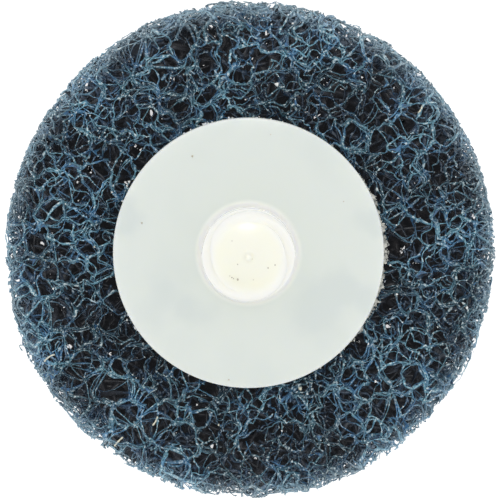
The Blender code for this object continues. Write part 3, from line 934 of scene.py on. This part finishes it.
def tube_of_paths(name, paths, radii, sides=3):
    """Tubes along paths, an array of shape (tubes, points, 3), with a radius at each point."""
    across, up = carry_frames(paths)
    count, points = paths.shape[:2]
    turn = FULL_TURN * np.arange(sides) / sides
    ring = ring_points(paths, radii[..., None], turn, across, up)
    start = (np.arange(count) * points)[:, None] + np.arange(points - 1)
    quads = ring_quads(start.ravel(), sides)
    first = (np.arange(count) * points * sides)[:, None] + np.arange(sides)
    last = (first + (points - 1) * sides)[:, ::-1]
    caps = [end[:, [0, k, k + 1]] for end in (first, last) for k in range(1, sides - 1)]
    mesh = mesh_from_arrays(name, ring, quads, np.concatenate(caps))
    add_face_map(mesh)
    return mesh


def fibre_mesh(web):
    """Fine loose fibres that stand a little off the rim and the faces."""
    rng = np.random.default_rng(FIBRE_SEED)
    depth = LINES["depth"]
    at_rim = rim_limit(LINES["lines"], web) < 0.35 * MM
    weight = ((depth > 0.02 * MM) & (depth < 0.3 * MM)) * np.where(at_rim, 1.0, 0.06)
    places = np.flatnonzero(weight.ravel())
    odds = weight.ravel()[places]
    chosen = rng.choice(places, web.fibres, replace=False, p=odds / odds.sum())
    strand, order = np.unravel_index(chosen, depth.shape)
    root = LINES["lines"][strand, order]
    normal, _ = nearest_face(root, web)
    heading = 0.3 * normal + rng.normal(0.0, 0.55, root.shape)
    heading /= np.linalg.norm(heading, axis=1, keepdims=True)
    curl = rng.normal(0.0, 0.5, root.shape)
    stride = rng.uniform(0.06, 0.17, (len(root), 1)) * MM
    path = [root]
    for _ in range(4):
        heading = heading + curl
        heading /= np.linalg.norm(heading, axis=1, keepdims=True)
        path.append(path[-1] + heading * stride)
    paths = np.stack(path, 1)
    paths[..., 2] = np.clip(paths[..., 2], 0.05 * MM, WEB_TOP + 0.25 * MM)
    taper = np.linspace(1.0, 0.5, paths.shape[1])
    radii = web.fibre_width / 2 * rng.uniform(0.6, 1.3, (len(root), 1)) * taper
    return tube_of_paths("loose_fibres", paths, radii)


def stray_mesh(name, routes, width):
    """Single bowed fibres lying on the web's back, by their ends and the point they bow towards."""
    share = np.linspace(0.0, 1.0, 8)[:, None]
    paths = []
    for first, bow, last in routes:
        ends = [np.array((*point, 0.0)) * MM for point in (first, bow, last)]
        path = (1 - share) ** 2 * ends[0] + 2 * share * (1 - share) * ends[1] + share**2 * ends[2]
        path[:, 2] = WEB_TOP - 0.2 * MM + 0.15 * MM * np.sin(math.pi * share[:, 0])
        paths.append(path)
    paths = np.stack(paths)
    wave = 1 + 0.3 * np.sin(np.arange(8) * 2.1 + np.arange(len(paths))[:, None])
    return tube_of_paths(name, paths, width / 2 * wave, 6)


def lumps_mesh(name, lumps):
    """Lumpy round crumbs as one mesh, each by its place, radius, stretch and seed."""
    whole = bmesh.new()
    for place, radius, stretch, seed in lumps:
        made = bmesh.ops.create_icosphere(whole, subdivisions=2, radius=radius)
        for vert in made["verts"]:
            x, y, z = vert.co / radius
            bump = 1 + 0.22 * math.sin(4 * x + seed) + 0.18 * math.sin(5 * y - seed) + 0.1 * math.sin(7 * z)
            vert.co = Vector(c * s for c, s in zip(vert.co, stretch)) * bump + Vector(place)
    mesh = bpy.data.meshes.new(name)
    whole.to_mesh(mesh)
    whole.free()
    mesh.shade_smooth()
    return mesh


def large_lump_mesh(name, spots):
    """Large lumps, each stuck on the strand that passes nearest to its place."""
    lumps = []
    strand, order = np.nonzero((LINES["depth"] > 0) & (LINES["depth"] < 1.2 * MM))
    points = LINES["lines"][strand, order]
    points = points[points[:, 2] > WEB_TOP / 2]
    for index, (x, y, radius) in enumerate(spots):
        gap = np.hypot(points[:, 0] - x * MM, points[:, 1] - y * MM) + 0.2 * (WEB_TOP - points[:, 2])
        place = points[np.argmin(gap)] + (0.0, 0.0, 0.5 * radius * MM)
        lumps.append((place, radius * MM, (1.0, 1.0, 0.8), index))
    return lumps_mesh(name, lumps)


class DISC_OT_lay_web(bpy.types.Operator):
    """Lay the strands of the web and cut them to the disc"""

    bl_idname = "disc.lay_web"
    bl_label = "Lay web"

    def execute(self, context):
        web = context.scene.disc_web
        lay_web(web)
        lines = LINES["lines"]
        runs = LINES["runs"]
        if not len(runs):
            raise RuntimeError("No strand lies inside the disc")
        middle = (runs[:, 1] + runs[:, 2]) // 2
        height = lines[runs[:, 0], middle, 2]
        order = np.argsort(height, kind="stable")
        deep = np.cumsum(LINES["depth"] >= web.core_depth, axis=1)
        in_core = deep[runs[:, 0], runs[:, 2] - 1] - deep[runs[:, 0], runs[:, 1]]
        rings = (runs[:, 2] - runs[:, 1]) - in_core * (1 - 1 / web.core_skip)
        share = np.cumsum(rings[order]) / rings.sum()
        material = strand_material(web)
        for layer in range(web.layers):
            within = (share > layer / web.layers) & (share <= (layer + 1) / web.layers + 1e-9)
            within &= (share > layer / web.layers + 1e-9) | (layer == 0)
            mesh = tube_mesh(f"web_layer_{layer + 1}", runs[order[within]], web)
            add_piece(mesh, material, "web", *(("abrasive_web",) if layer == 0 else ()))
        return {"FINISHED"}


class DISC_OT_add_resin(bpy.types.Operator):
    """Add resin films at the crossings and grains on the strands"""

    bl_idname = "disc.add_resin"
    bl_label = "Add resin and grain"

    def execute(self, context):
        if "frames" not in LINES:
            raise RuntimeError("Lay the web first")
        web = context.scene.disc_web
        add_piece(film_mesh(web), film_material(web), "web")
        add_piece(grain_mesh(web), grain_material(web), "web")
        bare = mottled_material("bare_fibre", (500.0, 1.0), (0.4, 0.6), web.fibre, web.light, 0.45)
        white = mottled_material("white_dot", (3000.0, 1.0), (0.6, 0.75), WHITE_DOT, web.dust_and_glint, 0.2)
        pale = mottled_material("undyed_fibre", (2500.0, 2.0), (0.45, 0.7), web.pale, web.fibre, 0.4)
        add_piece(fibre_mesh(web), bare, "web")
        add_piece(large_lump_mesh("white_dots", WHITE_DOTS), white, "web")
        add_piece(stray_mesh("pale_fibres", PALE_FIBRES, 0.16 * MM), pale, "web")
        add_piece(large_lump_mesh("yellow_grains", YELLOW_GRAINS), pale, "web")
        add_piece(stray_mesh("hooked_fibre", (HOOKED_FIBRE,), 0.13 * MM), bare, "web")
        return {"FINISHED"}


def turned_mesh(name, loops):
    """Close a stack of loops, each an array of as many points, into a mesh."""
    across = len(loops[0])
    index = np.arange(across)
    after = (index + 1) % across
    first = np.stack([index, after, across + after, across + index], 1)
    quads = [row * across + first for row in range(len(loops) - 1)]
    points = np.concatenate(loops + [loops[0].mean(0, keepdims=True), loops[-1].mean(0, keepdims=True)])
    low, high = len(points) - 2, len(points) - 1
    last = (len(loops) - 1) * across
    caps = np.concatenate([
        np.stack([after, index, np.full(across, low)], 1),
        np.stack([last + index, last + after, np.full(across, high)], 1),
    ])
    return mesh_from_arrays(name, points, np.concatenate(quads), caps)


def glue_swell(angle):
    """How much glue has run out at an angle, from 0 to 1."""
    turned = np.abs((angle - BEAD_MIDDLE + math.pi) % FULL_TURN - math.pi)
    return np.clip(np.cos(np.minimum(turned / BEAD_HALF, 1.0) * math.pi / 2), 0.0, 1.0) ** 0.4


def glue_edge(angle, glue):
    """Radius that the glue reaches at an angle: ragged where it has run out."""
    waves = ((17, 0.4, 0.8), (31, 1.9, 1.0), (57, 4.0, 1.0), (103, 2.2, 0.8), (171, 0.9, 0.7))
    ragged = sum(weight * np.sin(count * angle + phase) for count, phase, weight in waves) / 3.0
    run_out = glue.setback + glue.bead * (0.5 + 0.5 * np.clip(ragged, -1.0, 1.0))
    return FLANGE_RADIUS - glue.setback + run_out * glue_swell(angle)


def glue_mesh(glue, rng):
    """The layer of glue, with a rough bead that shows past the flange on the right."""
    angle = FULL_TURN * np.arange(GLUE_COLUMNS) / GLUE_COLUMNS
    edge, swell = glue_edge(angle, glue), glue_swell(angle)
    low, gap = WEB_TOP - 0.5 * MM, FLANGE_BOTTOM - WEB_TOP
    section = ((1.0, low), (0.45, WEB_TOP - 0.2 * MM), (0.1, WEB_TOP + 0.15 * gap))
    section += ((0.0, WEB_TOP + 0.4 * gap), (0.06, WEB_TOP + 0.62 * gap), (0.2, WEB_TOP + 0.8 * gap))
    section += ((0.5, FLANGE_BOTTOM),)
    loops = []
    for inset, height in section:
        out = edge - inset * MM * (0.3 + 0.7 * swell) + rng.normal(0.0, glue.rough, len(angle)) * swell
        level = height + rng.normal(0.0, glue.rough, len(angle)) * swell * (height < FLANGE_BOTTOM)
        loops.append(np.stack([out * np.cos(angle), out * np.sin(angle), level], 1))
    mesh = turned_mesh("glue_layer", loops)
    mesh.polygons.foreach_set("use_smooth", np.zeros(len(mesh.polygons), bool))
    return mesh


def on_ring(angle, out, height):
    """A place by its angle and its distance from the disc's axis."""
    return out * math.cos(angle), out * math.sin(angle), height


def crumb_mesh(glue, rng):
    """Small crumbs of glue along the bead, and nubs at the flange's edge."""
    lumps = []
    for index in range(glue.crumbs):
        angle = BEAD_MIDDLE + CRUMB_HALF * rng.uniform(-1.0, 1.0)
        out = float(glue_edge(np.array(angle), glue)) + rng.uniform(-0.25, 0.12) * MM
        size = rng.uniform(0.04, 0.12) * MM
        height = WEB_TOP + rng.uniform(-0.1, 0.75) * MM
        lumps.append((on_ring(angle, out, height), size, rng.uniform(0.7, 1.5, 3), index))
    for index, (turn, size) in enumerate(GLUE_NUBS):
        place = on_ring(math.radians(turn), FLANGE_RADIUS + 0.05 * MM, FLANGE_BOTTOM - 0.1 * MM)
        lumps.append((place, size * MM, (1.2, 1.2, 0.9), index))
    return lumps_mesh("glue_crumbs", lumps)


class DISC_OT_add_glue(bpy.types.Operator):
    """Add the glue layer with its bead and crumbs"""

    bl_idname = "disc.add_glue"
    bl_label = "Add glue"

    def execute(self, context):
        glue = context.scene.disc_glue
        rng = np.random.default_rng(GLUE_SEED)
        noise, share = (1900.0, 3.0), (0.38, 0.6)
        material = mottled_material("hardened_glue", noise, share, glue.shade, glue.colour, 0.45)
        add_piece(glue_mesh(glue, rng), material, "glue", "adhesive_bond")
        add_piece(crumb_mesh(glue, rng), material, "glue")
        return {"FINISHED"}


def button_material(button):
    """Natural plastic: milky, greyer where it is thin over the dark web. The paler fillet at the stud's foot
    is partly milkier plastic, partly painted light that lifts the shade in the crease, and the paler stud
    towards its thread is painted light.
    """
    shader = Shader("natural_plastic")
    where = shader.position()
    foot, out = button.crest + button.fillet, shader.off_axis(where)
    fillet = shader.ranged(out, foot + 0.35 * MM, foot - 0.3 * MM, smooth=True)
    thick = shader.ranged(out, button.crest + 0.15 * MM, button.crest - 0.25 * MM, smooth=True)
    cloud = shader.ranged(shader.noise(where, 105.0, 2.0, 0.45), 0.5, 0.75, 0.0, 0.6)
    uneven = shader.ranged(shader.noise(where, 190.0, 2.0), 0.3, 0.7, -1.6 * MM, 1.6 * MM)
    for x, y, radius in CLOUDS:
        gap = shader.maths("ADD", shader.off_axis(where, (x * MM, y * MM)), uneven)
        spot = shader.ranged(gap, radius * MM, 0.15 * radius * MM, 0.0, 0.8, smooth=True)
        cloud = shader.maths("MAXIMUM", cloud, spot)
    thin = shader.mix(cloud, button.flange_colour, button.cloud_colour)
    warm = shader.noise(where, 230.0, 1.0)
    stud = shader.mix(shader.ranged(warm, 0.4, 0.7, 0.0, 0.4), button.stud_colour, WARM_PLASTIC)
    # Painted light: the stud is made paler towards its thread, where its rounded rim gets less light.
    crest = shader.ranged(out, 2.8 * MM, 4.2 * MM, smooth=True)
    stud = shader.mix(crest, stud, button.crest_painted_light)
    # Partly milkier plastic, partly painted light: the fillet is made paler where shade falls in the crease.
    thin = shader.mix(fillet, thin, button.milky_foot_and_painted_light)
    return shader.finish(
        shader.mix(thick, thin, stud),
        Roughness=0.15,
        Subsurface_Weight=1.0,
        Subsurface_Scale=button.milkiness,
        Subsurface_Radius=(1.0, 0.95, 0.8),
    )


def speck_mesh(button):
    """Specks that show at the plastic's surface, nearly flush with it."""
    lumps = []
    flange_top = FLANGE_BOTTOM + button.flange_thickness
    for specks, level in ((END_SPECKS, STUD_TOP - button.gate_height), (FLANGE_SPECKS, flange_top)):
        for index, (x, y, radius) in enumerate(specks):
            fall = button.dome * (x**2 + y**2) / 11.4 if specks is END_SPECKS else 0.0
            lumps.append(((x * MM, y * MM, level - fall), radius * MM, (1.0, 1.0, 0.3), index))
    return lumps_mesh("moulding_specks", lumps)


def flash_mesh():
    """Bits of plastic that ran out where the mould closed round the flange."""
    lumps = []
    for index, (turn, size) in enumerate(FLASH):
        place = on_ring(math.radians(turn), FLANGE_RADIUS + 0.05 * size * MM, FLANGE_BOTTOM + 0.85 * MM)
        lumps.append((place, size * MM, (1.3, 1.3, 1.1), index))
    return lumps_mesh("flange_flash", lumps)


def button_profile(button, columns):
    """Loops of the button from its underside up to the stud's end."""
    angle = FULL_TURN * np.arange(columns) / columns
    flange_top = FLANGE_BOTTOM + button.flange_thickness
    end = STUD_TOP - button.gate_height
    root = button.crest - button.depth
    end_flat = root - button.end_edge
    edge, fillet = button.edge, button.fillet
    loops = []
    parting = np.isin(np.arange(columns), (0, columns // 2))

    def add(radius, height):
        on_stud = height > flange_top and height < end - 0.4 * button.end_rounding
        radius = np.broadcast_to(radius, angle.shape) + button.ridge * parting * on_stud
        loops.append(np.stack([radius * np.cos(angle), radius * np.sin(angle), np.full(columns, height)], 1))

    for lean in np.linspace(0, math.pi / 2, 5):
        add(FLANGE_RADIUS - edge * (1 - math.sin(lean)), FLANGE_BOTTOM + edge * (1 - math.cos(lean)))
    for lean in np.linspace(0, math.pi / 2, 5):
        add(FLANGE_RADIUS - edge * (1 - math.cos(lean)), flange_top - edge * (1 - math.sin(lean)))
    foot = button.crest + fillet
    for share in (0.75, 0.5, 0.25):
        add(foot + (FLANGE_RADIUS - edge - foot) * share, flange_top)
    for lean in np.linspace(0, math.pi / 2, 9):
        add(button.crest + fillet * (1 - math.sin(lean)), flange_top + fillet * (1 - math.cos(lean)))

    def threaded(height):
        above = (height - flange_top - fillet - button.collar) / button.collar
        share = min(1.0, max(0.0, above))
        climb = (0.3 * MM - (end - height)) / (button.lead / button.starts)
        turn = button.starts * (angle - math.pi / 2) / FULL_TURN
        wave = 0.5 - 0.8 * np.sin(FULL_TURN * (climb - turn))
        wave = np.clip(wave, 0, 1)
        wave = wave * wave * (3 - 2 * wave)
        return button.crest + share * (root + button.depth * wave - button.crest)

    steepest = math.radians(81.0)
    shoulder = end - button.dome - button.end_rounding * math.sin(steepest)
    for height in np.linspace(flange_top + fillet, shoulder, 60)[1:]:
        add(threaded(height), height)
    for lean in np.linspace(0, steepest, 34)[1:]:
        height = shoulder + button.end_rounding * math.sin(lean)
        limit = end_flat + (button.crest - end_flat) * math.cos(lean)
        add(np.minimum(threaded(height), limit), height)
    for radius in np.linspace(limit, button.gate, 9)[1:]:
        add(radius, end - button.dome * (radius / limit) ** 2)
    for radius, share in ((0.85, 0.35), (0.65, 0.8), (0.4, 1.0), (0.2, 1.0)):
        add(button.gate * radius, end + share * button.gate_height)
    return loops


class DISC_OT_turn_button(bpy.types.Operator):
    """Make the moulded button with its two-start thread"""

    bl_idname = "disc.turn_button"
    bl_label = "Make button"

    def execute(self, context):
        button = context.scene.disc_button
        mesh = turned_mesh("moulded_button", button_profile(button, BUTTON_COLUMNS))
        mesh.set_sharp_from_angle(angle=math.radians(50.0))
        plastic = button_material(button)
        add_piece(mesh, plastic, "button", "attachment_button")
        add_piece(flash_mesh(), plastic, "button")
        brown = Vector(button.speck_colour)
        half_brown = (brown + Vector(button.stud_colour)) / 2
        burnt = mottled_material("moulding_speck", (6000.0, 2.0), (0.4, 0.65), brown, half_brown, 0.4)
        add_piece(speck_mesh(button), burnt, "button")
        return {"FINISHED"}


def stage_floor(stage):
    """A wide pale floor that shows white and keeps the disc's shadow."""
    bm = bmesh.new()
    bmesh.ops.create_grid(bm, x_segments=1, y_segments=1, size=FLOOR_HALF)
    mesh = bpy.data.meshes.new("floor")
    bm.to_mesh(mesh)
    bm.free()
    shader = Shader("pale_floor")
    shader.surface.inputs["Base Color"].default_value = (*stage.floor, 1.0)
    shader.surface.inputs["Roughness"].default_value = 0.9
    glow = shader.node("ShaderNodeEmission")
    glow.inputs["Color"].default_value = WHITE
    glow.inputs["Strength"].default_value = FLOOR_GLOW
    both = shader.node("ShaderNodeAddShader")
    shader.link(shader.surface.outputs[0], both.inputs[0])
    shader.link(glow.outputs[0], both.inputs[1])
    seen = shader.node("ShaderNodeLightPath").outputs["Is Camera Ray"]
    shown = shader.choose(seen, shader.surface.outputs[0], both.outputs[0])
    shader.link(shown, shader.tree.nodes["Material Output"].inputs["Surface"])
    mesh.materials.append(shader.material)
    floor = bpy.data.objects.new("floor", mesh)
    bpy.context.scene.collection.objects.link(floor)


def stage_world(stage):
    """Even light from all round, and a white background."""
    world = bpy.data.worlds.new("studio")
    bpy.context.scene.world = world
    world.use_nodes = True
    nodes = Nodes(world.node_tree)
    light = nodes.tree.nodes["Background"]
    white = nodes.node("ShaderNodeBackground")
    for background in (light, white):
        background.inputs["Color"].default_value = WHITE
    split = nodes.node("ShaderNodeSeparateXYZ")
    nodes.link(nodes.node("ShaderNodeTexCoord").outputs["Generated"], split.inputs[0])
    strength = nodes.ranged(split.outputs["Z"], 0.0, 1.0, stage.fill * stage.sides, stage.fill)
    nodes.link(strength, light.inputs["Strength"])
    rays = nodes.node("ShaderNodeLightPath").outputs
    seen = nodes.maths("MAXIMUM", rays["Is Camera Ray"], rays["Is Transmission Ray"])
    seen = nodes.maths("MAXIMUM", seen, rays["Is Glossy Ray"])
    shown = nodes.choose(seen, light.outputs[0], white.outputs[0])
    nodes.link(shown, nodes.tree.nodes["World Output"].inputs["Surface"])


def add_lamp(name, place, size, power):
    """A soft lamp that faces the disc."""
    lamp = bpy.data.lights.new(name, "AREA")
    lamp.shape = "RECTANGLE"
    lamp.size, lamp.size_y = size
    lamp.energy = power
    holder = bpy.data.objects.new(name, lamp)
    holder.location = place
    holder.rotation_euler = (-Vector(place)).to_track_quat("-Z", "Y").to_euler()
    bpy.context.scene.collection.objects.link(holder)


class DISC_OT_set_stage(bpy.types.Operator):
    """Set the floor, the light and the camera"""

    bl_idname = "disc.set_stage"
    bl_label = "Set stage"

    def execute(self, context):
        stage = context.scene.disc_stage
        stage_floor(stage)
        stage_world(stage)
        add_lamp("key_lamp", KEY_PLACE, KEY_SIZE, stage.key)
        add_lamp("overhead_lamp", SKY_PLACE, SKY_SIZE, stage.sky)
        camera = bpy.data.cameras.new("camera")
        camera.sensor_width = SENSOR_WIDTH
        camera.lens = camera.sensor_width * stage.distance / stage.field
        camera.shift_x, camera.shift_y = stage.shift
        camera.clip_end = FAR_CLIP
        holder = bpy.data.objects.new("camera", camera)
        reach, lean = stage.distance, stage.tilt
        holder.location = (0.0, reach * math.sin(lean), WEB_TOP / 2 + reach * math.cos(lean))
        holder.rotation_euler = (-stage.tilt, 0.0, 0.0)
        context.scene.collection.objects.link(holder)
        context.scene.camera = holder
        context.scene.view_settings.view_transform = "Standard"
        return {"FINISHED"}


class DISC_PT_panel(bpy.types.Panel):
    """The disc's parts, in the order that they are made"""

    bl_idname = "DISC_PT_panel"
    bl_label = "Conditioning disc"
    bl_space_type = "VIEW_3D"
    bl_region_type = "UI"
    bl_category = "Disc"

    def draw(self, context):
        for operator in OPERATORS:
            self.layout.operator(operator.bl_idname)


SETTINGS = {
    "disc_web": WebSettings,
    "disc_glue": GlueSettings,
    "disc_button": ButtonSettings,
    "disc_stage": StageSettings,
}
OPERATORS = (
    DISC_OT_lay_web,
    DISC_OT_add_resin,
    DISC_OT_add_glue,
    DISC_OT_turn_button,
    DISC_OT_set_stage,
)


def register():
    for group in (*SETTINGS.values(), *OPERATORS, DISC_PT_panel):
        bpy.utils.register_class(group)
    for name, group in SETTINGS.items():
        setattr(bpy.types.Scene, name, PointerProperty(type=group))


def unregister():
    for name in SETTINGS:
        delattr(bpy.types.Scene, name)
    for group in (DISC_PT_panel, *OPERATORS, *SETTINGS.values()):
        bpy.utils.unregister_class(group)


def main():
    register()
    bpy.ops.disc.set_stage()
    bpy.ops.disc.lay_web()
    bpy.ops.disc.add_resin()
    bpy.ops.disc.add_glue()
    bpy.ops.disc.turn_button()


if __name__ == "__main__":
    main()
